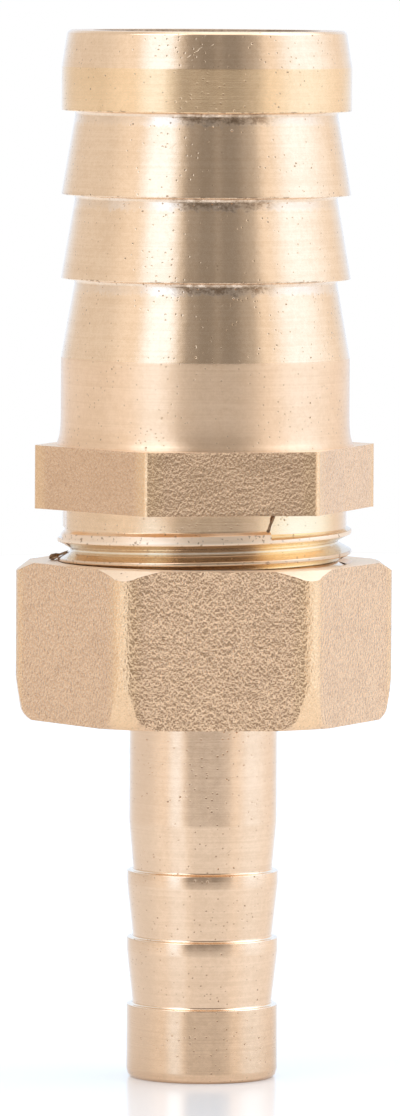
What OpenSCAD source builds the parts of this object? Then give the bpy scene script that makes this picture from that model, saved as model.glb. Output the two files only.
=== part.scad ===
// Hose reducer connector in brass: a large barbed tail with a hexagon and a male pipe thread,
// a small barbed tail with a flange, the union nut that pulls the two together, and the flat
// washer that seals between them.
// Millimetres, Z up. The connector stands on the small tail, whose end is centred on the origin.

/* [Large hose tail] */
// Diameter over the large barbs
large_barb_d = 26.05; // [25.2:0.05:28]
// Diameter at the foot of each large barb
large_foot_d = 23.45; // [22.6:0.05:24.6]
// Diameter of the plain stem above the hexagon
large_stem_d = 25.95; // [24.8:0.05:26.8]
// Diameter of the lead-in at the large open end
large_tip_d = 25.1; // [23.6:0.05:26]
// Water way through the large tail
large_bore_d = 20; // [16:0.5:21]
// Number of barbs on the large tail
large_barbs = 3; // [2:1:5]
// Distance from one large barb to the next
large_pitch = 7.53; // [5:0.01:10]
// Length of the plain stem
large_stem_len = 7.8; // [4:0.1:20]
// Length of the neck that narrows from the stem to the first barb
large_neck_len = 7.1; // [4:0.1:12]
// Length of the end barb, from its shoulder to the open end
large_end_len = 7.2; // [5.5:0.1:12]
// Straight part of the end barb
large_end_land = 3.9; // [1:0.1:5]

/* [Small hose tail] */
// Diameter over the small barbs
small_barb_d = 13.6; // [12.8:0.05:14]
// Diameter at the foot of each small barb
small_foot_d = 12.5; // [11.8:0.1:12.7]
// Diameter of the plain stem that passes through the nut
small_stem_d = 13.3; // [12.4:0.1:13.8]
// Diameter of the lead-in at the small open end
small_tip_d = 13.25; // [12:0.05:13.4]
// Water way through the small tail
small_bore_d = 10; // [7:0.5:10.5]
// Number of barbs on the small tail
small_barbs = 3; // [2:1:5]
// Distance from one small barb to the next
small_pitch = 6.05; // [4:0.05:8]
// Straight part behind the edge of each small barb
small_land = 1.2; // [0:0.05:2]
// Length of the plain stem below the nut
small_stem_len = 9.35; // [4:0.05:20]
// Length of the neck that narrows from the stem to the first barb
small_neck_len = 4.4; // [2:0.1:8]
// Length of the end barb, from its shoulder to the open end
small_end_len = 6.6; // [4:0.1:10]
// Tapered part of the end barb
small_end_taper = 1.1; // [0.5:0.1:2]

/* [Hexagon and thread] */
// Spanner size of the hexagon on the large tail
hex_af = 27; // [26.8:0.1:32]
// Height of the hexagon
hex_h = 5.7; // [3:0.1:12]
// Rounding of the hexagon's upright corners
hex_corner_r = 0.6; // [0.2:0.1:2]
// Outside diameter of the male thread, here the 3/4 inch pipe thread
thread_major_d = 26.44; // [26:0.01:26.6]
// Distance from one turn of the thread to the next
thread_pitch = 1.814; // [1.2:0.001:2]
// Height of the thread's crest above the male end's face, where it crosses the X axis
thread_start = 1.93; // [0.5:0.01:2.2]
// Length from the sealing face of the male end to the hexagon
male_len = 11.15; // [9.5:0.05:20]
// Diameter of the plain groove where the thread runs out below the hexagon
relief_d = 25.75; // [24:0.05:25.9]
// Length of that groove
relief_len = 1.7; // [0.8:0.1:3]

/* [Union nut] */
// Spanner size of the nut
nut_af = 30; // [29.4:0.1:36]
// Height of the nut
nut_h = 14.15; // [11:0.05:16]
// Rounding of the nut's forged corners
nut_corner_r = 2; // [0.3:0.1:3]
// How far the tight nut stands turned from the hexagon, in degrees
nut_turned = -5.8; // [-30:0.1:30]
// Circle that the turned top chamfer leaves on the nut's top face
nut_top_d = 31.6; // [29:0.1:33]
// Slope of that chamfer, in degrees
nut_top_slope = 36; // [10:1:45]
// Chamfer round the nut's underside, inwards from the drawn-in corners
nut_base_chamfer = 0.75; // [0.2:0.05:1.2]
// Height over which the corners draw in towards the underside
nut_draw_in_h = 7.8; // [3:0.1:9]
// How far the corners draw in there
nut_draw_in = 0.65; // [0.1:0.05:0.8]
// Thickness of the wall that holds the small tail's flange
nut_wall = 3; // [2:0.1:4.5]
// Free space round the small tail's barbs, as the nut slides on over them
nut_hole_gap = 0.35; // [0.2:0.05:0.6]
// Free space between the crests and roots of the two threads
thread_gap = 0.12; // [0.08:0.01:0.3]
// Free space between their flanks, along the axis
thread_play = 0.1; // [0.06:0.01:0.2]
// Height of the plain recess that the nut's thread ends in, above its inner wall
nut_recess_h = 2.4; // [1:0.1:4]

/* [Flange and washer] */
// Free space round the flange and the washer inside the nut's thread
flange_gap = 0.16; // [0.1:0.02:0.4]
// Thickness of the small tail's flange
flange_t = 2.8; // [2:0.1:4]
// Thickness of the sealing washer
washer_t = 2; // [1:0.1:3]
// Hole of the sealing washer
washer_hole_d = 17; // [14:0.5:19]

/* [Edges] */
// Hollow fillet under each barb
undercut_r = 0.4; // [0.1:0.05:0.6]
// Blunted edge of each barb
barb_edge = 0.1; // [0.05:0.01:0.2]
// Chamfer at each open end and at each mouth of the water way
mouth_chamfer = 0.25; // [0.1:0.05:0.5]
// Chamfer on the nut's mouth and holes, and round the flange
nut_chamfer = 0.5; // [0.2:0.1:0.8]

/* [Hidden] */

$fn = 96;
arc_steps = 5;
overcut = 1;

turned_brass = "#dcbd92";
forged_brass = "#c9a47a";
washer_black = "#2e2d2c";

hexagon_turn = 60;
half_hexagon_turn = hexagon_turn / 2;

// Heights, stacked up from the small end
small_barbed_len = small_end_len + (small_barbs - 1) * small_pitch;
nut_z = small_barbed_len + small_neck_len + small_stem_len;
flange_z = nut_z + nut_wall;
washer_z = flange_z + flange_t;
male_z = washer_z + washer_t;
hex_z = male_z + male_len;
stem_z = hex_z + hex_h;
large_barbed_len = large_stem_len + large_neck_len + (large_barbs - 1) * large_pitch + large_end_len;
top_z = stem_z + large_barbed_len;

// The pipe thread: flanks 55 degrees apart, as deep as the standard has it for its pitch, and
// enough facets to each turn to keep it smooth
depth_to_pitch = 0.6403;
thread_depth = depth_to_pitch * thread_pitch;
thread_minor_d = thread_major_d - 2 * thread_depth;
flank_run = tan(55 / 2);
crest_w = thread_pitch / 2 - thread_depth * flank_run;
thread_facets = 40;
thread_overlap = 0.2;

flange_d = thread_minor_d - 2 * flange_gap;
nut_hole_d = max(small_barb_d, small_stem_d) + 2 * nut_hole_gap;
nut_corner_reach = nut_af / 2 / cos(half_hexagon_turn);

// The start of a barb, from its foot outwards: a hollow fillet, a square shoulder, a blunt edge
// and a straight land
function barb(height, foot_r, barb_r, land) =
    let (fillet = min(undercut_r, (barb_r - foot_r) / 2))
    concat(
        [for (i = [0:arc_steps])
            let (turn = 180 - 90 * i / arc_steps)
            [foot_r + fillet * (1 + cos(turn)), height - fillet * (1 - sin(turn))]],
        [[barb_r - barb_edge, height], [barb_r, height + barb_edge]],
        land > barb_edge ? [[barb_r, height + land]] : []
    );

// Outline of a barbed tail as [radius, height] points, from the end of its plain stem out to the
// open end. From its land each barb narrows as a cone to the foot of the next, and the last to
// the tip.
function barbed_outline(stem_d, stem_len, neck_len, foot_d, barb_d, barbs, pitch, land,
                        end_land, end_len, tip_d) =
    let (
        first = stem_len + neck_len,
        tip = first + (barbs - 1) * pitch + end_len
    )
    concat(
        [[stem_d / 2, stem_len]],
        [for (i = [0:barbs - 1])
            each barb(first + i * pitch, foot_d / 2, barb_d / 2, i < barbs - 1 ? land : end_land)],
        [[tip_d / 2, tip - mouth_chamfer], [tip_d / 2 - mouth_chamfer, tip]]
    );

// Points of a hexagon with its corners rounded, one corner on the X axis
function rounded_hexagon(across_flats, corner_r) =
    let (centre = (across_flats / 2 - corner_r) / cos(half_hexagon_turn))
    [for (corner = [0:5], i = [0:arc_steps])
        let (
            heading = hexagon_turn * corner,
            turn = heading + hexagon_turn * i / arc_steps - half_hexagon_turn
        )
        [centre * cos(heading) + corner_r * cos(turn), centre * sin(heading) + corner_r * sin(turn)]];

// Four corners of the thread's ridge where it crosses the X axis, as [radius, height] points
function ridge_section(root_r, tip_r, play) =
    [for (side = [-1, 1], r = side < 0 ? [root_r, tip_r] : [tip_r, root_r])
        [r, side * (crest_w / 2 + (thread_major_d / 2 - r) * flank_run + play)]];

// The thread as a ridge that climbs right-handed round the Z axis. Its first crest crosses the
// X axis at first_z. It grows out of its root over a part of a turn and sinks back at the end.
module screw_ridge(root_r, crest_r, play, first_z, last_z) {
    steps = floor((last_z - first_z) / thread_pitch * thread_facets);
    run_in = thread_facets / 3;
    thinnest = 0.02;
    rings = [for (i = [0:steps])
        let (
            angle = 360 * i / thread_facets,
            height = first_z + thread_pitch * i / thread_facets,
            grown = max(thinnest, min(1, i / run_in, (steps - i) / run_in))
        )
        [for (corner = ridge_section(root_r, root_r + (crest_r - root_r) * grown, play))
            [corner[0] * cos(angle), corner[0] * sin(angle), height + corner[1]]]];
    corners = len(rings[0]);
    start_cap = [for (k = [corners - 1:-1:0]) k];
    end_cap = [for (k = [0:corners - 1]) corners * steps + k];
    sides = [for (i = [0:steps - 1], k = [0:corners - 1])
        let (here = corners * i + k, beside = corners * i + (k + 1) % corners)
        each [[here, beside + corners, here + corners], [here, beside, beside + corners]]];
    polyhedron([for (ring = rings) each ring], concat([start_cap], sides, [end_cap]));
}

// The water way through a tail, chamfered at both mouths
module water_way(bore_d, bottom_z, end_z) {
    mouth_r = bore_d / 2 + mouth_chamfer + overcut;
    rotate_extrude()
        polygon([
            [0, bottom_z - overcut], [mouth_r, bottom_z - overcut],
            [bore_d / 2, bottom_z + mouth_chamfer], [bore_d / 2, end_z - mouth_chamfer],
            [mouth_r, end_z + overcut], [0, end_z + overcut]
        ]);
}

// Everything that the lathe turned on the large tail: male end, core of the hexagon, stem, barbs
module large_turned_form() {
    core_r = thread_minor_d / 2;
    relief_r = relief_d / 2;
    run_out_z = hex_z - relief_len;
    core_z = hex_z + hex_h / 2;
    tail = barbed_outline(large_stem_d, large_stem_len, large_neck_len, large_foot_d, large_barb_d,
                          large_barbs, large_pitch, 0, large_end_land, large_end_len, large_tip_d);
    rotate_extrude()
        polygon(concat(
            [[0, male_z], [core_r - mouth_chamfer, male_z], [core_r, male_z + mouth_chamfer]],
            [[core_r, run_out_z - (relief_r - core_r)], [relief_r, run_out_z]],
            [[relief_r, core_z], [large_stem_d / 2, core_z]],
            [for (point = tail) [point[0], stem_z + point[1]]],
            [[0, top_z]]
        ));
}

module large_hose_tail() {
    color(turned_brass)
        difference() {
            union() {
                large_turned_form();
                screw_ridge(thread_minor_d / 2 - thread_overlap, thread_major_d / 2, 0,
                            male_z + thread_start, hex_z - relief_len);
                translate([0, 0, hex_z])
                    linear_extrude(hex_h)
                        polygon(rounded_hexagon(hex_af, hex_corner_r));
            }
            water_way(large_bore_d, male_z, top_z);
        }
}

module small_hose_tail() {
    flange_r = flange_d / 2;
    stem_r = small_stem_d / 2;
    tail = barbed_outline(small_stem_d, nut_wall + small_stem_len, small_neck_len, small_foot_d,
                          small_barb_d, small_barbs, small_pitch, small_land,
                          small_end_len - small_end_taper, small_end_len, small_tip_d);
    color(turned_brass)
        difference() {
            rotate_extrude()
                polygon(concat(
                    [[0, washer_z], [flange_r - nut_chamfer, washer_z], [flange_r, washer_z - nut_chamfer]],
                    [[flange_r, flange_z + nut_chamfer], [flange_r - nut_chamfer, flange_z]],
                    [[stem_r + undercut_r, flange_z], [stem_r, flange_z - undercut_r]],
                    [for (point = tail) [point[0], flange_z - point[1]]],
                    [[0, 0]]
                ));
            water_way(small_bore_d, 0, washer_z);
        }
}

// The nut's outside: a forged hexagon, turned to a chamfer on top and drawn in towards its foot
module nut_blank() {
    top_r = nut_top_d / 2;
    outside_r = nut_corner_reach + overcut;
    drawn_r = nut_corner_reach - nut_draw_in;
    undrawn_r = drawn_r + (nut_h - nut_base_chamfer) * nut_draw_in / nut_draw_in_h;
    intersection() {
        rotate([0, 0, nut_turned])
            linear_extrude(nut_h)
                polygon(rounded_hexagon(nut_af, nut_corner_r));
        rotate_extrude()
            polygon([
                [0, 0], [outside_r, 0], [outside_r, nut_h - (outside_r - top_r) * tan(nut_top_slope)],
                [top_r, nut_h], [0, nut_h]
            ]);
        rotate_extrude()
            polygon([
                [0, 0], [drawn_r - nut_base_chamfer, 0], [drawn_r, nut_base_chamfer],
                [undrawn_r, nut_h], [0, nut_h]
            ]);
    }
}

// What is turned out of the nut: the hole for the small tail, a recess, the bore and its thread
module nut_bore() {
    crest_r = thread_minor_d / 2 + thread_gap;
    recess_r = thread_major_d / 2 + thread_gap;
    hole_r = nut_hole_d / 2;
    thread_z = nut_wall + nut_recess_h;
    mouth_r = recess_r + overcut;
    first_crest_z = male_z - nut_z + thread_start - 2 * thread_pitch;
    rotate_extrude()
        polygon([
            [0, -overcut], [hole_r + nut_chamfer + overcut, -overcut],
            [hole_r, nut_chamfer], [hole_r, nut_wall - nut_chamfer], [hole_r + nut_chamfer, nut_wall],
            [recess_r, nut_wall], [recess_r, thread_z], [crest_r, thread_z + recess_r - crest_r],
            [crest_r, nut_h + crest_r - recess_r], [mouth_r, nut_h + overcut], [0, nut_h + overcut]
        ]);
    screw_ridge(crest_r - thread_overlap, recess_r, thread_play, first_crest_z, nut_h + thread_pitch);
}

module union_nut() {
    color(forged_brass)
        translate([0, 0, nut_z])
            difference() {
                nut_blank();
                nut_bore();
            }
}

module sealing_washer() {
    color(washer_black)
        translate([0, 0, washer_z])
            difference() {
                cylinder(d = flange_d, h = washer_t);
                translate([0, 0, -overcut])
                    cylinder(d = washer_hole_d, h = washer_t + 2 * overcut);
            }
}

large_hose_tail();
union_nut();
small_hose_tail();
sealing_washer();
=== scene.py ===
import math

import bmesh
import bpy
from mathutils import Matrix, Vector


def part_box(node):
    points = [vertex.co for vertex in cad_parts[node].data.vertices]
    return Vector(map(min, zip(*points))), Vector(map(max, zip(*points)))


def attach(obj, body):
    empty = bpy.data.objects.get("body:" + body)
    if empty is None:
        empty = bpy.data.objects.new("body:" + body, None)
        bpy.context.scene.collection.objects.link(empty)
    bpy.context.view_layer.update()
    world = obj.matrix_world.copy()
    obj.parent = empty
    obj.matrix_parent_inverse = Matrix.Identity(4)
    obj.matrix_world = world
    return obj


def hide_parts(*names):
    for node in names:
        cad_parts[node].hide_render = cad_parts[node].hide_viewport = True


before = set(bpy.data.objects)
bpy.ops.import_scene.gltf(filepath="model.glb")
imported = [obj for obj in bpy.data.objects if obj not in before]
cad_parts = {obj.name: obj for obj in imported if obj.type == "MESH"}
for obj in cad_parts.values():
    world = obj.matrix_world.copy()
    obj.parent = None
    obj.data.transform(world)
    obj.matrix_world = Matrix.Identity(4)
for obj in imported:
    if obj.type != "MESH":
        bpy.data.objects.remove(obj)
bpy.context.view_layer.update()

# Camera. The connector is seen from the front through a long lens, from a little above its open
# end and ten degrees to the left of the front flat of the large tail's hexagon.
MM = 0.001
view_turn = math.radians(-10.5)
view_down = math.radians(3.798)
view_roll = math.radians(0.316)
camera_place = Vector((-0.387, -857.5, 103.76)) * MM
film_height = 24
focal_pixels = 9548.7
picture_height_pixels = 1116

bpy.ops.object.camera_add()
camera = bpy.context.object
camera.name = "camera"
camera.matrix_world = (
    Matrix.Rotation(view_turn, 4, "Z")
    @ Matrix.Translation(camera_place)
    @ Matrix.Rotation(math.pi / 2 - view_down, 4, "X")
    @ Matrix.Rotation(view_roll, 4, "Z")
)
camera.data.sensor_fit = "VERTICAL"
camera.data.sensor_height = film_height
camera.data.lens = film_height * focal_pixels / picture_height_pixels
camera.data.clip_start = 0.01
camera.data.clip_end = 50
bpy.context.scene.camera = camera
bpy.context.scene.view_settings.view_transform = "Standard"

# Large hose tail. One piece of brass: bar forged to a hexagon, then turned on a lathe to three
# barbs, a plain stem and a male pipe thread. All pieces are modelled in millimetres on the
# connector's axis, and brought to metres when they are finished.
tail_low, tail_high = (corner.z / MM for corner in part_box("large_hose_tail"))
large_bore_r = 10
large_stem_r = 12.975
large_foot_r = 11.725
large_barb_r = 13.025
large_tip_r = 12.55
large_barb_pitch = 7.53
large_end_land = 3.9
large_neck_len = 7.1
large_stem_len = 7.8
hexagon_af = 27
hexagon_corner_r = 0.6
hexagon_low = tail_low + 11.15
hexagon_high = hexagon_low + 5.7
hexagon_middle = (hexagon_low + hexagon_high) / 2
stem_top = hexagon_high + large_stem_len
flare_start = 0.38
flare_points = [(0.14, 0.65), (0.03, 1.5), (0, 2.5)]  # out from the stem, up from the hexagon
first_barb = stem_top + large_neck_len
barb_edges = [first_barb + barb * large_barb_pitch for barb in range(3)]
crest_r = 13.22
root_r = 12.0585
flank_slope = math.tan(math.radians(27.5))
thread_pitch = 1.814
thread_start = tail_low + 1.93
thread_turns_full = 4
thread_end = thread_turns_full * 360 + 15
relief_r = 12.76
relief_low = hexagon_low - 1.7
collar_r = 12.875
crest_half = (thread_pitch / 2 - (crest_r - root_r) * flank_slope) / 2
crest_rounding = 0.07
root_fillet = 0.09
root_fillet_h = 0.137
collar_low = thread_start + thread_pitch * (thread_turns_full - 1)
collar_crest_r = crest_r - 0.02
collar_crest_h = 0.6
collar_slope_h = 0.95
collar_len = 4
seam_heading = 286.3  # degrees from the X axis
undercut = 0.45
mouth_chamfer = 0.25
worn_edge = 0.06
overcut = 1


def deselect_all():
    if bpy.context.object and bpy.context.object.mode != "OBJECT":
        bpy.ops.object.mode_set(mode="OBJECT")
    bpy.ops.object.select_all(action="DESELECT")


def pick(piece, kind, wanted):
    """Selects, in edit mode, the vertices, edges or faces for which wanted is true."""
    mesh = bmesh.from_edit_mesh(piece.data)
    for group in (mesh.faces, mesh.edges, mesh.verts):
        for element in group:
            element.select_set(False)
    for element in getattr(mesh, kind):
        if wanted(element):
            element.select_set(True)
    bmesh.update_edit_mesh(piece.data)


def drawn_section(name, corners):
    """The closed outline of a section, drawn in edit mode from corners of radius, height and
    rounding. The rounding says how far from the corner its arc begins."""
    deselect_all()
    bpy.ops.mesh.primitive_plane_add(size=1)
    piece = bpy.context.object
    piece.name = name
    bpy.ops.object.mode_set(mode="EDIT")
    bpy.ops.mesh.select_mode(type="VERT")
    bpy.ops.mesh.merge(type="CENTER")
    bpy.ops.transform.translate(value=(corners[0][0], 0, corners[0][1]))
    for before, after in zip(corners, corners[1:] + corners[:1]):
        step = (after[0] - before[0], 0, after[1] - before[1])
        bpy.ops.mesh.extrude_region_move(TRANSFORM_OT_translate={"value": step})
    bpy.ops.mesh.select_all(action="SELECT")
    bpy.ops.mesh.remove_doubles(threshold=1e-4)
    for radius, height, rounding in corners:
        if rounding:
            place = Vector((radius, 0, height))
            pick(piece, "verts", lambda vertex: (vertex.co - place).length < 1e-3)
            bpy.ops.mesh.bevel(offset=rounding, segments=5, affect="VERTICES")
    return piece


def turned(name, corners, finish, sides=192):
    """A ring turned on the lathe to the section that its corners give."""
    piece = drawn_section(name, corners)
    bpy.ops.mesh.select_all(action="SELECT")
    bpy.ops.mesh.spin(steps=sides, angle=2 * math.pi, center=(0, 0, 0), axis=(0, 0, 1))
    bpy.ops.mesh.select_all(action="SELECT")
    bpy.ops.mesh.remove_doubles(threshold=1e-4)
    bpy.ops.mesh.normals_make_consistent(inside=False)
    bpy.ops.object.mode_set(mode="OBJECT")
    piece.data.materials.append(finish)
    return piece


def thread_turns(name, corners, finish, first, last, fade_in, fade_out, sink):
    """A section swept right-handed round the axis from one turn to another, both in degrees from
    the X axis. Beyond each end it sinks towards the axis within that end's fade."""
    piece = drawn_section(name, corners)
    bpy.ops.object.mode_set(mode="OBJECT")
    sweep = piece.modifiers.new("sweep", "SCREW")
    sweep.axis = "Z"
    sweep.angle = math.radians(last - first)
    sweep.screw_offset = thread_pitch * (last - first) / 360
    sweep.steps = sweep.render_steps = round((last - first) / 3)
    bpy.ops.object.modifier_apply(modifier=sweep.name)
    piece.rotation_euler.z = math.radians(first)
    piece.location.z = thread_pitch * first / 360
    bpy.ops.object.transform_apply()
    bpy.ops.object.mode_set(mode="EDIT")
    bpy.ops.mesh.select_all(action="SELECT")
    bpy.ops.mesh.fill_holes(sides=0)
    bpy.ops.mesh.normals_make_consistent(inside=False)
    bpy.ops.mesh.select_mode(type="FACE")
    fade_steps = 12
    for end, onwards, fade in ((last, 1, fade_out), (first, -1, fade_in)):
        if fade:
            out = Vector((math.cos(math.radians(end)), math.sin(math.radians(end)), 0))
            ahead = Vector((-out.y, out.x, 0)) * onwards
            pick(piece, "faces", lambda face: face.normal.dot(ahead) > 0.99
                 and abs(face.calc_center_median().dot(ahead)) < 1e-3
                 and face.calc_center_median().dot(out) > 0)
            turn = onwards * fade / fade_steps
            for step in range(1, fade_steps + 1):
                heading = math.radians(end + turn * step)
                rise = (0, 0, thread_pitch * turn / 360)
                bpy.ops.mesh.extrude_region_move(TRANSFORM_OT_translate={"value": rise})
                bpy.ops.transform.rotate(
                    value=-math.radians(turn), orient_axis="Z", center_override=(0, 0, 0))
                inwards = Vector((math.cos(heading), math.sin(heading), 0)) * (-sink / fade_steps)
                bpy.ops.transform.translate(value=inwards)
    bpy.ops.object.mode_set(mode="OBJECT")
    piece.data.materials.append(finish)
    return piece


def forged_bar(name, finish, across_flats, corner_r, low, high, turn, cell):
    """A six-sided bar with rounded corners, in cells fine enough for its forged skin."""
    deselect_all()
    tangent = corner_r * math.tan(math.radians(30))
    bpy.ops.mesh.primitive_circle_add(
        vertices=6, radius=across_flats / 2 / math.cos(math.radians(30)),
        location=(0, 0, low), rotation=(0, 0, math.radians(30) + turn))
    piece = bpy.context.object
    piece.name = name
    bpy.ops.object.transform_apply()
    bpy.ops.object.mode_set(mode="EDIT")
    bpy.ops.mesh.select_mode(type="VERT")
    bpy.ops.mesh.bevel(offset=tangent, segments=8, affect="VERTICES")
    pick(piece, "edges", lambda edge: edge.calc_length() > tangent)
    flat = across_flats * math.tan(math.radians(30)) - 2 * tangent
    bpy.ops.mesh.subdivide(number_cuts=round(flat / cell))
    bpy.ops.mesh.select_all(action="SELECT")
    bpy.ops.mesh.edge_face_add()
    bpy.ops.mesh.select_mode(type="FACE")
    rows = round((high - low) / cell)
    for _ in range(rows):
        bpy.ops.mesh.extrude_region_move(TRANSFORM_OT_translate={"value": (0, 0, (high - low) / rows)})
    bpy.ops.mesh.select_all(action="SELECT")
    bpy.ops.mesh.normals_make_consistent(inside=False)
    bpy.ops.object.mode_set(mode="OBJECT")
    piece.data.materials.append(finish)
    skin = piece.vertex_groups.new(name="skin")
    reach = flat / 2
    for vertex in piece.data.vertices:
        heading = math.atan2(vertex.co.y, vertex.co.x) - turn - math.radians(30)
        from_middle = heading - math.radians(60) * round(heading / math.radians(60))
        along = abs(across_flats / 2 * math.tan(from_middle))
        skin.add([vertex.index], max(0, min(1, (reach - along) / (2 * cell))), "REPLACE")
    return piece


def hammered(piece, name, size, depth):
    """Sinks the flats of a forged bar in a cloudy pattern of one grain size."""
    clouds = bpy.data.textures.new(name, "CLOUDS")
    clouds.noise_scale = size
    clouds.noise_depth = 1
    dents = piece.modifiers.new(name, "DISPLACE")
    dents.texture = clouds
    dents.texture_coords = "LOCAL"
    dents.vertex_group = "skin"
    dents.strength = depth
    dents.mid_level = 1
    bpy.context.view_layer.objects.active = piece
    bpy.ops.object.modifier_apply(modifier=dents.name)


def burr(name, finish, heading, radius, height, size, taper, lean, droop, seed):
    """A torn sliver of metal. Its size is given outwards, along the cut and upwards, and its inner
    end is narrower by the taper. It leans over along the cut, and droops outwards."""
    deselect_all()
    bpy.ops.mesh.primitive_cube_add(size=1)
    piece = bpy.context.object
    piece.name = name
    bpy.ops.object.mode_set(mode="EDIT")
    bpy.ops.mesh.select_mode(type="VERT")
    bpy.ops.mesh.subdivide(number_cuts=5)
    bpy.ops.transform.vertex_random(offset=0.3, seed=seed)
    bpy.ops.mesh.vertices_smooth(factor=0.4)
    pick(piece, "verts", lambda vertex: vertex.co.x < 0.1)
    bpy.ops.transform.resize(value=(1, taper, taper), center_override=(0, 0, 0))
    bpy.ops.object.mode_set(mode="OBJECT")
    piece.matrix_world = (
        Matrix.Rotation(math.radians(heading), 4, "Z") @ Matrix.Translation((radius, 0, height))
        @ Matrix.Rotation(-math.radians(lean), 4, "X") @ Matrix.Rotation(math.radians(droop), 4, "Y")
        @ Matrix.Diagonal((*size, 1)))
    bpy.ops.object.transform_apply()
    piece.data.materials.append(finish)
    return piece


def combined(piece, operation, tool):
    """Joins a piece with another, cuts it or trims it to it. The other one is used up."""
    deselect_all()
    bpy.context.view_layer.objects.active = piece
    boolean = piece.modifiers.new("boolean", "BOOLEAN")
    boolean.operation = operation
    boolean.object = tool
    boolean.solver = "EXACT"
    boolean.material_mode = "TRANSFER"
    bpy.ops.object.modifier_apply(modifier=boolean.name)
    bpy.data.objects.remove(tool)


def refinish(piece, finish, wanted):
    """Gives another finish to those faces of the piece's first one for which wanted is true of
    their middle and normal."""
    piece.data.materials.append(finish)
    for face in piece.data.polygons:
        if face.material_index == 0 and wanted(face.center, face.normal):
            face.material_index = len(piece.data.materials) - 1


def to_metres(piece, smooth_angle=32):
    """Finishes a piece that was modelled in millimetres."""
    deselect_all()
    piece.select_set(True)
    bpy.context.view_layer.objects.active = piece
    piece.scale = (MM, MM, MM)
    bpy.ops.object.transform_apply()
    bpy.ops.object.shade_smooth_by_angle(angle=math.radians(smooth_angle))
    level = piece.modifiers.new("level", "WEIGHTED_NORMAL")
    level.keep_sharp = True
    bpy.ops.object.modifier_apply(modifier=level.name)


class Wire:
    """A socket of a shader, on which sums and products add Math nodes."""

    def __init__(self, tree, socket=None):
        self.tree, self.socket = tree, socket

    def node(self, kind, settings=None, values=None, output=0):
        node = self.tree.nodes.new("ShaderNode" + kind)
        for name, value in (settings or {}).items():
            setattr(node, name, value)
        for name, value in (values or {}).items():
            if isinstance(value, Wire):
                self.tree.links.new(value.socket, node.inputs[name])
            else:
                node.inputs[name].default_value = value
        return Wire(self.tree, node.outputs[output] if node.outputs else None)

    def maths(self, operation, first, second=0.0):
        return self.node("Math", {"operation": operation}, {0: first, 1: second})

    def __add__(self, other):
        return self.maths("ADD", self, other)

    def __radd__(self, other):
        return self.maths("ADD", other, self)

    def __sub__(self, other):
        return self.maths("SUBTRACT", self, other)

    def __rsub__(self, other):
        return self.maths("SUBTRACT", other, self)

    def __mul__(self, other):
        return self.maths("MULTIPLY", self, other)

    def between(self, low, high):
        """0 below low and 1 above high, and smooth from one to the other."""
        return self.node("MapRange", {"interpolation_type": "SMOOTHSTEP"},
                         {"Value": self, "From Min": low, "From Max": high})

    def within(self, low, high, soft):
        """1 from low to high, and 0 beyond them."""
        return self.between(low - soft, low + soft) * (1 - self.between(high - soft, high + soft))

    def blend(self, first, second):
        """A colour that goes from the first to the second as this value goes from 0 to 1."""
        sides = [(*side, 1) if isinstance(side, tuple) else side for side in (first, second)]
        return self.node("Mix", {"data_type": "RGBA"}, {"Factor": self, 6: sides[0], 7: sides[1]}, 2)


def new_finish(name):
    """A material with no nodes, a wire to build them on, and its place in millimetres."""
    material = bpy.data.materials.new(name)
    material.use_nodes = True
    material.node_tree.nodes.clear()
    wire = Wire(material.node_tree)
    metres = wire.node("TexCoord", output=3)
    return material, wire, wire.node("VectorMath", {"operation": "SCALE"}, {0: metres, "Scale": 1 / MM})


def stretched(wire, place, per_mm):
    """The place, with its own scale along each axis."""
    return wire.node("VectorMath", {"operation": "MULTIPLY"}, {0: place, 1: per_mm})


def noise(wire, place, scale, detail=2.0, roughness=0.5):
    return wire.node("TexNoise", {}, {"Vector": place, "Scale": scale, "Detail": detail,
                                      "Roughness": roughness})


def specks(wire, place, per_mm, size, share):
    """Round specks scattered in cells, present in a share of the cells."""
    cell_settings = {"feature": "F1"}
    cell_values = {"Vector": place, "Scale": per_mm, "Randomness": 1.0}
    distance = wire.node("TexVoronoi", cell_settings, cell_values, 0)
    chance = wire.node("TexVoronoi", cell_settings, cell_values, 1)
    red = wire.node("SeparateColor", {}, {"Color": chance})
    return (1 - distance.between(size * 0.4, size)) * (1 - red.between(share, share + 0.01))


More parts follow.
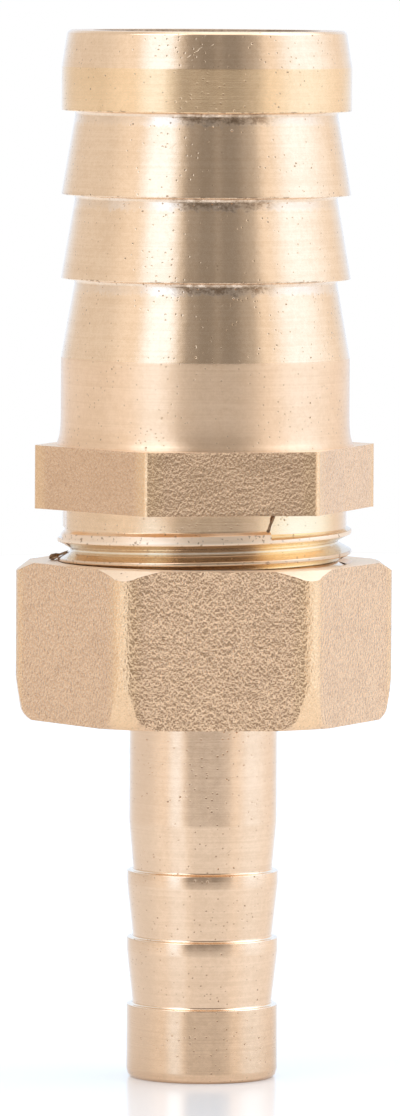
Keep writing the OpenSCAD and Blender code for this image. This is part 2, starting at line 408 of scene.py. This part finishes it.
def turned_finish(name, clean, dull, cut_depth, roughness, anisotropy, stained_and_shaded=False, nicked_with_painted_light=False,
                  shaded_left=False):
    """Brass as the lathe left it: fine lines round the work, pits in clusters, and mottling. Where
    it is stained, a paler band lies just under each barb, and brown grime and painted shade lie in
    the corners under the barbs, most of it at the front. Where it is nicked, it is a thread with
    bruised crests, and it has painted light: a highlight to the right, shade at the front of the
    grooves and of the collar's slope, and darker lower crests as shade, with a paler top crest.
    Where it is shaded on the left, the left side is painted darker as shade."""
    finish, wire, place = new_finish(name)
    east = wire.node("SeparateXYZ", {}, {0: place}, 0)
    north = wire.node("SeparateXYZ", {}, {0: place}, 1)
    height = wire.node("SeparateXYZ", {}, {0: place}, 2)
    # degrees round the part, 0 at its front and 90 on its right
    front = wire.maths("ARCTAN2", east, north * -1) * math.degrees(1)
    # The front of the part, where the thread is painted darker as shade.
    shaded_front = front.within(-24, 12, 6)
    lines = noise(wire, stretched(wire, place, (0.05, 0.05, 4.0)), 1.0, 3.0, 0.75)
    fine_lines = noise(wire, stretched(wire, place, (0.1, 0.1, 11.0)), 1.0, 2.0, 0.6)
    mottle = noise(wire, place, 1.9, 5.0, 0.7)
    clouds = noise(wire, place, 0.22, 3.0, 0.55)
    clusters = clouds.between(0.42, 0.66)
    pits = specks(wire, place, 2.1, 0.24, 0.16 + clusters * 0.7)
    pocks = specks(wire, place, 1.2, 0.14, 0.08 + clusters * 0.40)
    rubbed = wire.node("VectorRotate", {"rotation_type": "Y_AXIS"},
                       {"Vector": place, "Angle": math.radians(38)})
    streaks = noise(wire, stretched(wire, rubbed, (0.7, 0.7, 7.0)), 1.0, 2.0, 0.6)
    scratch = streaks.between(0.68, 0.74) * noise(wire, place, 0.16).between(0.56, 0.62)
    pit_brown = (0.34, 0.20, 0.11)
    under_barb_pale = (0.94, 0.76, 0.61)
    # Brown of grime, also used as painted shade under the barbs.
    grime_and_shade_brown = (0.36, 0.23, 0.14)
    # Painted shade colour of the left side.
    left_shade_brown = (0.74, 0.53, 0.37)
    # Painted highlight colour of the right lamp on the thread.
    painted_highlight_gold = (0.97, 0.79, 0.55)
    # Painted shade colours for the front of the grooves and of the collar's slope.
    groove_shade = (0.68, 0.53, 0.40)
    slope_shade = (0.55, 0.40, 0.29)
    # Painted shade colour of the lower crests.
    lower_crest_shade = (0.72, 0.49, 0.32)
    top_crest_pale = (0.97, 0.74, 0.55)
    worn = noise(wire, place, 4.5, 2.0, 0.6)
    dullness = lines * 0.3 + clouds * 0.2 + mottle * 0.3 + worn * 0.2
    colour = dullness.between(0.40, 0.60).blend(clean, dull)
    if stained_and_shaded:
        # A paler band just under each barb, patchy with the clusters.
        below = sum(height.within(edge - 1.9 + mottle * 1.6, edge + 0.02, 0.2) for edge in barb_edges)
        colour = (below * (0.25 + clusters * 0.45)).blend(colour, under_barb_pale)
        blots = noise(wire, stretched(wire, place, (1.5, 1.5, 2.2)), 1.0, 4.0, 0.75).between(0.30, 0.62)
        # Brown under the barbs: partly real grime, partly painted shade of the overhang, mostly at the
        # front.
        grime_and_shade = sum(height.within(edge - 1.9 + mottle * 2.0, edge + 0.02, 0.3) for edge in barb_edges)
        colour = (grime_and_shade * blots * (0.12 + front.within(-24, 18, 6) * 0.8)).blend(colour, grime_and_shade_brown)
    # A broken brown line along the lowest part of each barb.
    barb_edge_line = sum(height.within(edge, edge + 0.13, 0.03) for edge in barb_edges)
    line_breaks = noise(wire, stretched(wire, place, (0.9, 0.9, 0.2)), 1.0, 3.0, 0.7).between(0.50, 0.64)
    colour = (barb_edge_line * line_breaks * 0.7).blend(colour, grime_and_shade_brown)
    if nicked_with_painted_light:
        flat_place = stretched(wire, place, (1, 1, 0))
        radius = wire.node("VectorMath", {"operation": "LENGTH"}, {0: flat_place}, 1)
        crests = radius.between(crest_r - 0.10, crest_r - 0.05)
        top_crest = height.between(collar_low + 0.4, collar_low + 0.6)
        grooves = 1 - radius.between(collar_r - 0.15, collar_r - 0.05)
        nicks = crests * noise(wire, place, 2.2, 2.0, 0.6).between(0.60, 0.66)
        # Painted highlight: paler gold on the thread's right side, most in the grooves.
        colour = (front.within(14, 50, 8) * (0.5 + grooves * 0.5)).blend(colour, painted_highlight_gold)
        slope = radius.within(collar_r + 0.03, crest_r - 0.12, 0.02)
        # Painted shade: the grooves and the collar's slope are darker at the front.
        colour = (shaded_front * grooves * 0.8).blend(colour, groove_shade)
        colour = (shaded_front * slope * 0.6).blend(colour, slope_shade)
        # Painted shade: the lower crests are darker, shaded by the nut; the top crest is paler.
        colour = (crests * (1 - top_crest) * 0.8).blend(colour, lower_crest_shade)
        colour = (crests * top_crest * 0.8).blend(colour, top_crest_pale)
        colour = (nicks * 0.8).blend(colour, grime_and_shade_brown)
        roughness = roughness + crests * top_crest * 0.22
    # Painted shade: the left side is darker.
    if shaded_left:
        left = (1 - front.between(-62, -42)) * front.between(-150, -110)
        colour = (left * 0.6).blend(colour, left_shade_brown)
    colour = (pits * 0.42).blend(colour, pit_brown)
    colour = (pocks * 0.8).blend(colour, pit_brown)
    bumps = (lines * cut_depth + fine_lines * (cut_depth * 0.35) + mottle * 0.004 + clouds * 0.03
             - pits * 0.012 - pocks * 0.03 - scratch * 0.008)
    bump = wire.node("Bump", {}, {"Height": bumps, "Distance": MM, "Strength": 1.0})
    shine = wire.node("BsdfPrincipled", {}, {
        "Base Color": colour, "Metallic": 1.0, "Roughness": roughness + mottle * 0.06 + lines * 0.04,
        "Anisotropic": anisotropy, "Anisotropic Rotation": 0.25, "Normal": bump})
    wire.node("OutputMaterial", {}, {"Surface": shine})
    return finish


barb_brass = turned_finish("barb_brass", clean=(0.95, 0.69, 0.47), dull=(0.86, 0.605, 0.395),
                           cut_depth=0.002, roughness=0.09, anisotropy=0.5, stained_and_shaded=True)
land_brass = turned_finish("land_brass", clean=(0.96, 0.67, 0.405), dull=(0.88, 0.60, 0.35),
                           cut_depth=0.006, roughness=0.16, anisotropy=0.8)
turned_brass = turned_finish("turned_brass", clean=(0.93, 0.65, 0.435), dull=(0.85, 0.575, 0.365),
                             cut_depth=0.009, roughness=0.29, anisotropy=0.8)
collar_brass = turned_finish("collar_brass", clean=(0.87, 0.60, 0.385), dull=(0.78, 0.53, 0.325),
                             cut_depth=0.005, roughness=0.16, anisotropy=0.8, nicked_with_painted_light=True)
thread_brass = turned_finish("thread_brass", clean=(0.82, 0.66, 0.485), dull=(0.72, 0.57, 0.405),
                             cut_depth=0.003, roughness=0.08, anisotropy=0.3, nicked_with_painted_light=True)
# Paler brass for the chamfers and flat ends, a painted highlight of the light from above.
chamfer_highlight_brass = turned_finish("chamfer_highlight_brass", clean=(0.97, 0.76, 0.55), dull=(0.93, 0.70, 0.49),
                              cut_depth=0.008, roughness=0.44, anisotropy=0.6)
# The bores are painted dark brown, as the shade inside them.
shaded_bore_brass = turned_finish("shaded_bore_brass", clean=(0.42, 0.29, 0.19), dull=(0.20, 0.13, 0.08),
                           cut_depth=0.010, roughness=0.42, anisotropy=0.5)


def forged_finish(name, corner_share, turn, relief, left_shade):
    """Brass as forged and blasted: a grainy skin on the flats, and corners that the die pressed
    smooth and golden. The corner share is how much of each sixth of a turn a corner takes, and the
    last argument is how far the left side is painted darker as shade."""
    finish, wire, place = new_finish(name)
    grain = noise(wire, stretched(wire, place, (1, 1, 0.62)), 4.9, 1.0, 0.55)
    skin = noise(wire, place, 4.0, 3.0, 0.65)
    pits = specks(wire, place, 3.2, 0.26, 0.22)
    patches = noise(wire, place, 0.3, 3.0, 0.6)
    east = wire.node("SeparateXYZ", {}, {0: place}, 0)
    north = wire.node("SeparateXYZ", {}, {0: place}, 1)
    sixths = wire.maths("COSINE", (wire.maths("ARCTAN2", north, east) - (math.radians(30) + turn)) * 6)
    corner_edge = math.cos(math.pi * (1 - corner_share))
    flat = sixths.between(corner_edge - 0.02, corner_edge + 0.22)
    sand = (0.92, 0.61, 0.38)
    hollow = (0.58, 0.36, 0.22)
    pit_brown = (0.45, 0.28, 0.17)
    pressed = (0.91, 0.60, 0.34)
    colour = (skin * 0.6 + grain * 0.4).between(0.26, 0.58).blend(hollow, sand)
    # Painted shade: the left side is darker.
    left = 1 - east.between(-8.4, -7.4)
    colour = (left * left_shade).blend(colour, hollow)
    colour = ((1 - flat) * 0.6).blend(colour, pressed)
    colour = (pits * 0.4).blend(colour, pit_brown)
    colour = (patches.between(0.45, 0.75) * 0.2).blend(colour, hollow)
    bumps = (grain * relief + skin * (relief * 0.35) - pits * 0.02) * (0.75 + flat * 0.25)
    bump = wire.node("Bump", {}, {"Height": bumps, "Distance": MM, "Strength": 1.0})
    matt = wire.node("BsdfPrincipled", {}, {
        "Base Color": colour, "Metallic": 1.0, "Roughness": 0.19 + flat * 0.02, "Normal": bump})
    wire.node("OutputMaterial", {}, {"Surface": matt})
    return finish


hexagon_brass = forged_finish("hexagon_brass", corner_share=0.03, turn=0, relief=0.045, left_shade=0.5)

# Dark brown torn metal, partly oxide and partly painted shade.
torn_brown, torn, place = new_finish("torn_brown")
oxide_and_shade = noise(torn, place, 3.0, 3.0, 0.6)
torn.node("OutputMaterial", {}, {"Surface": torn.node("BsdfPrincipled", {}, {
    "Base Color": oxide_and_shade.between(0.35, 0.65).blend((0.20, 0.12, 0.07), (0.42, 0.26, 0.15)),
    "Metallic": 1.0, "Roughness": 0.45})})

outline = [
    (large_bore_r, tail_low + mouth_chamfer, worn_edge), (large_bore_r + mouth_chamfer, tail_low, worn_edge),
    (root_r - mouth_chamfer, tail_low, worn_edge), (root_r, tail_low + mouth_chamfer, worn_edge),
    (root_r, relief_low - (relief_r - root_r), 0.1), (relief_r, relief_low, 0.05),
    (relief_r, hexagon_middle, 0), (large_stem_r + flare_start, hexagon_middle, 0),
    (large_stem_r + flare_start, hexagon_high, 0),
]
outline += [(large_stem_r + flare, hexagon_high + above, 0.3) for flare, above in flare_points]
outline += [(large_stem_r, stem_top, 0.15)]
for edge_height in barb_edges:
    outline += [(large_foot_r, edge_height, undercut), (large_barb_r, edge_height, 0.1)]
outline += [
    (large_barb_r, barb_edges[-1] + large_end_land, 0.08),
    (large_tip_r, tail_high - mouth_chamfer, 0.08), (large_tip_r - mouth_chamfer, tail_high, worn_edge),
    (large_bore_r + mouth_chamfer, tail_high, worn_edge),
    (large_bore_r, tail_high - mouth_chamfer, worn_edge),
]
large_tail = turned("large_tail", outline, turned_brass)

hexagon = forged_bar("hexagon", hexagon_brass, hexagon_af, hexagon_corner_r,
                     hexagon_low, hexagon_high, turn=0, cell=0.2)
hammered(hexagon, "hexagon_waves", size=2.5, depth=0.05)
# The hexagon's flat ends get the paler brass, a painted highlight.
refinish(hexagon, chamfer_highlight_brass, lambda middle, normal: abs(normal.z) > 0.9)
bore_cut = turned("bore_cut", [
    (0.5, hexagon_low - overcut, 0), (root_r, hexagon_low - overcut, 0),
    (root_r, hexagon_high + overcut, 0), (0.5, hexagon_high + overcut, 0)], turned_brass)
combined(hexagon, "DIFFERENCE", bore_cut)

base_r = root_r - 0.2
foot_half = crest_half + (crest_r - root_r) * flank_slope
fillet_half = foot_half + root_fillet
fillet_top_r = root_r + root_fillet
fillet_top_half = fillet_half - root_fillet_h
ridge = thread_turns("ridge", [
    (base_r, thread_start - fillet_half, 0), (root_r, thread_start - fillet_half, 0),
    (fillet_top_r, thread_start - fillet_top_half, 0), (crest_r, thread_start - crest_half, crest_rounding),
    (crest_r, thread_start + crest_half, crest_rounding), (fillet_top_r, thread_start + fillet_top_half, 0),
    (root_r, thread_start + fillet_half, 0), (base_r, thread_start + fillet_half, 0),
], thread_brass, first=0, last=thread_end, fade_in=40, fade_out=60, sink=crest_r - root_r)
collar = thread_turns("collar", [
    (base_r, collar_low, 0), (collar_crest_r, collar_low, 0),
    (collar_crest_r, collar_low + collar_crest_h, 0.08), (collar_r, collar_low + collar_slope_h, 0.1),
    (collar_r, collar_low + collar_len, 0), (base_r, collar_low + collar_len, 0),
], collar_brass, first=seam_heading - 100, last=seam_heading, fade_in=25, fade_out=0,
    sink=crest_r - relief_r + 0.1)
seam_burr = burr("seam_burr", torn_brown, heading=seam_heading, radius=collar_r, height=hexagon_low - 0.95,
                 size=(0.22, 0.2, 1.95), taper=1, lean=22.6, droop=0, seed=3)
thread_burr = burr("thread_burr", torn_brown, heading=169.5, radius=13.05, height=47.08,
                   size=(1.6, 0.45, 0.45), taper=0.4, lean=0, droop=19, seed=8)
for part in (ridge, collar, hexagon, seam_burr, thread_burr):
    combined(large_tail, "UNION", part)


def outside(middle, normal):
    """Whether a face looks away from the axis."""
    return normal.x * middle.x + normal.y * middle.y > 0


land_low = barb_edges[-1] - 0.02
land_high = barb_edges[-1] + large_end_land
refinish(large_tail, barb_brass, lambda middle, normal: outside(middle, normal) and stem_top < middle.z
         and not land_low < middle.z < land_high)
refinish(large_tail, land_brass, lambda middle, normal: outside(middle, normal)
         and land_low < middle.z < land_high)
refinish(large_tail, thread_brass, lambda middle, normal: outside(middle, normal)
         and middle.z < relief_low - 0.4)
refinish(large_tail, collar_brass, lambda middle, normal: outside(middle, normal) and middle.z < hexagon_low)
refinish(large_tail, shaded_bore_brass, lambda middle, normal: not outside(middle, normal)
         and math.hypot(middle.x, middle.y) < large_bore_r + mouth_chamfer)
to_metres(large_tail)
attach(large_tail, "large_tail")
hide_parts("large_hose_tail")

# Small hose tail. One turned piece of brass: three barbs, a plain stem that passes through the
# nut, and a flange inside the nut that the nut pulls up against the sealing washer.
small_low, small_high = (corner.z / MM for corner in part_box("small_hose_tail"))
flange_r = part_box("small_hose_tail")[1].x / MM
flange_low = small_high - 2.8
small_bore_r = 5
small_stem_r = 6.65
small_foot_r = 6.25
small_barb_r = 6.8
small_tip_r = 6.68
small_barb_pitch = 6.05
small_land = 1.2
small_end_len = 6.6
small_end_taper = 0.8
small_stem_low = flange_low - 3 - 9.35
small_edges = [small_low + small_end_len + barb * small_barb_pitch for barb in range(3)]
flange_chamfer = 0.5

small_brass = turned_finish("small_brass", clean=(0.91, 0.64, 0.435), dull=(0.81, 0.56, 0.37),
                            cut_depth=0.003, roughness=0.08, anisotropy=0.5, shaded_left=True)
# The end below the first barb is painted darker, as shade near the table.
shaded_end_brass = turned_finish("shaded_end_brass", clean=(0.85, 0.58, 0.38), dull=(0.73, 0.495, 0.315),
                          cut_depth=0.003, roughness=0.08, anisotropy=0.5, shaded_left=True)
# Pale cream brass for rings that face up, a painted highlight of the light from above.
lit_ring_brass = turned_finish("lit_ring_brass", clean=(0.98, 0.85, 0.70), dull=(0.95, 0.80, 0.64),
                           cut_depth=0.002, roughness=0.10, anisotropy=0.3)

outline = [
    (small_bore_r, small_high - mouth_chamfer, worn_edge),
    (small_bore_r + mouth_chamfer, small_high, worn_edge),
    (flange_r - flange_chamfer, small_high, worn_edge), (flange_r, small_high - flange_chamfer, worn_edge),
    (flange_r, flange_low + flange_chamfer, worn_edge), (flange_r - flange_chamfer, flange_low, worn_edge),
    (small_stem_r, flange_low, 0.3), (small_stem_r, small_stem_low, 0.15),
]
for edge_height in reversed(small_edges):
    outline += [(small_foot_r, edge_height, 0.25), (small_barb_r, edge_height, 0.1)]
    if edge_height > small_edges[0]:
        outline += [(small_barb_r, edge_height - small_land, 0.08)]
outline += [
    (small_barb_r, small_low + small_end_taper, 0.1),
    (small_tip_r, small_low + mouth_chamfer, 0.1), (small_tip_r - mouth_chamfer, small_low, worn_edge),
    (small_bore_r + mouth_chamfer, small_low, worn_edge),
    (small_bore_r, small_low + mouth_chamfer, worn_edge),
]
small_tail = turned("small_tail", outline, small_brass, sides=128)
# The rings that face up get the pale brass, a painted highlight.
refinish(small_tail, lit_ring_brass, lambda middle, normal: normal.z > 0.6
         and math.hypot(middle.x, middle.y) > small_bore_r + 0.5)
# The end gets the darker brass, painted shade near the table.
refinish(small_tail, shaded_end_brass, lambda middle, normal: outside(middle, normal)
         and middle.z < small_edges[0])
refinish(small_tail, shaded_bore_brass, lambda middle, normal: not outside(middle, normal)
         and math.hypot(middle.x, middle.y) < small_bore_r + 0.01)
to_metres(small_tail)
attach(small_tail, "small_tail")
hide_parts("small_hose_tail")

# Union nut. A hot forging with a blasted skin, bored and threaded from above and chamfered on
# top by the lathe. It hangs on the small tail's flange and screws on to the large tail.
nut_low, nut_high = (corner.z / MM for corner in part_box("union_nut"))
nut_af = 29.98
nut_corner_r = 2
nut_turned = math.radians(-5.8)
nut_top_r = 15.8
nut_top_slope = math.tan(math.radians(36))
nut_base_chamfer = 0.55
nut_draw_in = 0.85
nut_wall = 3
nut_hole_r = 7.15
nut_recess_h = 2.4
nut_chamfer = 0.5
thread_gap = 0.12
thread_play = 0.1
nut_corner_reach = nut_af / 2 / math.cos(math.radians(30))
outside_r = nut_corner_reach + overcut
drawn_r = nut_corner_reach - nut_draw_in
draw_points = [(0.42, 3, 1.5), (0.12, 6, 2)]  # in from the corners, up from the base, rounding

forged_brass = forged_finish("forged_brass", corner_share=0.06, turn=nut_turned, relief=0.12, left_shade=0.25)
nut = forged_bar("nut", forged_brass, nut_af, nut_corner_r,
                 nut_low - 0.5, nut_high + 0.5, turn=nut_turned, cell=0.17)
hammered(nut, "nut_waves", size=3, depth=0.08)
die = turned("die", [
    (3, nut_low, 0), (drawn_r - nut_base_chamfer, nut_low, 0), (drawn_r, nut_low + nut_base_chamfer, 0.4),
    *((nut_corner_reach - inwards, nut_low + above, rounding) for inwards, above, rounding in draw_points),
    (nut_corner_reach, nut_high + overcut, 0), (3, nut_high + overcut, 0)], forged_brass)
combined(nut, "INTERSECT", die)
top_cut = turned("top_cut", [
    (2, nut_low - overcut, 0), (outside_r, nut_low - overcut, 0),
    (outside_r, nut_high - (outside_r - nut_top_r) * nut_top_slope, 0),
    (nut_top_r, nut_high, 0), (2, nut_high, 0)], chamfer_highlight_brass)
combined(nut, "INTERSECT", top_cut)
recess_r = crest_r + thread_gap
nut_crest_r = root_r + thread_gap
nut_thread_low = nut_low + nut_wall + nut_recess_h
water_way = turned("water_way", [
    (2, nut_low - overcut, 0), (nut_hole_r + nut_chamfer + overcut, nut_low - overcut, 0),
    (nut_hole_r, nut_low + nut_chamfer, 0), (nut_hole_r, nut_low + nut_wall - nut_chamfer, 0),
    (nut_hole_r + nut_chamfer, nut_low + nut_wall, 0), (recess_r, nut_low + nut_wall, 0),
    (recess_r, nut_thread_low, 0), (nut_crest_r, nut_thread_low + recess_r - nut_crest_r, 0),
    (nut_crest_r, nut_high + nut_crest_r - recess_r, 0), (recess_r + overcut, nut_high + overcut, 0),
    (2, nut_high + overcut, 0)], turned_brass)
combined(nut, "DIFFERENCE", water_way)
groove_base_r = nut_crest_r - 0.3
groove_half = crest_half + thread_play
groove_base_half = groove_half + (recess_r - groove_base_r) * flank_slope
groove = thread_turns("groove", [
    (groove_base_r, thread_start - groove_base_half, 0), (recess_r, thread_start - groove_half, 0.08),
    (recess_r, thread_start + groove_half, 0.08), (groove_base_r, thread_start + groove_base_half, 0),
], turned_brass, first=-2 * 360, last=3 * 360 + 40, fade_in=0, fade_out=0, sink=0)
combined(nut, "DIFFERENCE", groove)
to_metres(nut)
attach(nut, "nut")
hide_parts("union_nut")

# Sealing washer. A flat ring punched from black rubber sheet. It lies on the small tail's flange
# and is squeezed by the male end of the large tail.
washer_low, washer_high = (corner.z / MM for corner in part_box("sealing_washer"))
washer_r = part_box("sealing_washer")[1].x / MM
washer_hole_r = 8.5

washer_rubber, rubber, place = new_finish("washer_rubber")
dust = noise(rubber, place, 2.0, 3.0, 0.6)
colour = dust.between(0.4, 0.8).blend((0.012, 0.012, 0.013), (0.03, 0.03, 0.03))
grain = noise(rubber, place, 12.0) * 0.01
bump = rubber.node("Bump", {}, {"Height": grain, "Distance": MM, "Strength": 1.0})
matt = rubber.node("BsdfPrincipled", {}, {
    "Base Color": colour, "Roughness": 0.6 + dust * 0.15, "Normal": bump})
rubber.node("OutputMaterial", {}, {"Surface": matt})

washer = turned("washer", [
    (washer_hole_r, washer_low, worn_edge), (washer_r, washer_low, worn_edge),
    (washer_r, washer_high, worn_edge), (washer_hole_r, washer_high, worn_edge)], washer_rubber)
to_metres(washer)
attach(washer, "washer")
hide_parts("sealing_washer")

# Table and studio light. A white table in a white studio, with a large soft lamp on either side
# of the camera and the dark of the room between them, behind the camera.
deselect_all()
bpy.ops.mesh.primitive_plane_add(size=1.4)
table = bpy.context.object
table.name = "table"
table_white, top, place = new_finish("table_white")
camera_sees = top.node("LightPath", output="Is Camera Ray")
metal_sees = top.node("LightPath", output="Is Glossy Ray")
glass_sees = top.node("LightPath", output="Is Transmission Ray")
painted = top.node("BsdfPrincipled", {}, {
    "Base Color": (0.9, 0.9, 0.89, 1), "Roughness": 0.13, "Specular Tint": (1, 0.94, 0.84, 1)})
white_light = (1, 1, 1, 1)
haze = top.node("Emission", {}, {"Color": white_light, "Strength": 0.10})
white = top.node("Emission", {}, {"Color": white_light, "Strength": 1})
lit = top.node("AddShader", {}, {0: painted, 1: haze})
for_camera = top.node("MixShader", {}, {0: camera_sees, 1: painted, 2: lit})
seen = top.node("MixShader", {}, {0: (metal_sees + glass_sees) * 0.15, 1: for_camera, 2: white})
top.node("OutputMaterial", {}, {"Surface": seen})
table.data.materials.append(table_white)

world = bpy.data.worlds.new("studio")
bpy.context.scene.world = world
world.use_nodes = True
world.node_tree.nodes.clear()
studio = Wire(world.node_tree)
direction = studio.node("TexCoord", output=0)
turned_direction = studio.node("Mapping", {"vector_type": "POINT"}, {
    "Vector": direction, "Rotation": (0, 0, -view_turn)})
right = studio.node("SeparateXYZ", {}, {0: turned_direction}, 0)
back = studio.node("SeparateXYZ", {}, {0: turned_direction}, 1)
up = studio.node("SeparateXYZ", {}, {0: turned_direction}, 2)
heading = studio.maths("ARCTAN2", right, back * -1) * math.degrees(1)
rise = studio.maths("ARCSINE", up) * math.degrees(1)

# Both angles are in degrees: the heading is 0 behind the camera and 90 to its right, and the rise
# is 0 on the horizon. The lamps are bluish, and high up they are wider and whiter.
leaning = heading - rise.between(0, 17) * 9
high = rise.between(20, 42)
lamp_rise = rise.between(-5.5, 1.5) * (1 - rise.between(60, 76))
left_lamp = (heading + high * 26).between(-62, -44) * (1 - leaning.between(-42, -28)) * lamp_rise
right_lamp = heading.between(52, 78) * (1 - (heading - high * 26).between(84, 136)) * lamp_rise * 0.85
opening = heading.between(22, 40) * 0.3 + heading.between(38, 52) * 0.7
slats = heading.within(-14, -6, 2) * 0.07 + heading.within(7, 13, 2) * 0.07
dark_room = leaning.between(-36.5, -20) * (1 - opening) * rise.between(-8, -5) * (
    1 - rise.between(46, 62)) * (0.71 - slats)
walls = 0.82 + heading.between(-95, -65) * (1 - heading.between(118, 165)) * 0.2
ceiling = rise.between(58, 80) * 0.45
glow = walls + ceiling - dark_room + (left_lamp + right_lamp) * high * 0.9
backdrop = heading.between(130, 165) + (1 - heading.between(-165, -130))
lamps = left_lamp + right_lamp + rise.between(58, 80) * 0.25 + backdrop * 0.35
lamp_tint = (0.23, 0.55, 1)
colour = studio.node("CombineColor", {}, {
    channel: glow + lamps * strength for channel, strength in enumerate(lamp_tint)})
room = studio.node("Background", {}, {"Color": colour, "Strength": 1})
white_wall = studio.node("Background", {}, {"Color": white_light, "Strength": 1})
camera_ray = studio.node("LightPath", output="Is Camera Ray")
shown = studio.node("MixShader", {}, {0: camera_ray, 1: room, 2: white_wall})
studio.node("OutputWorld", {}, {"Surface": shown})
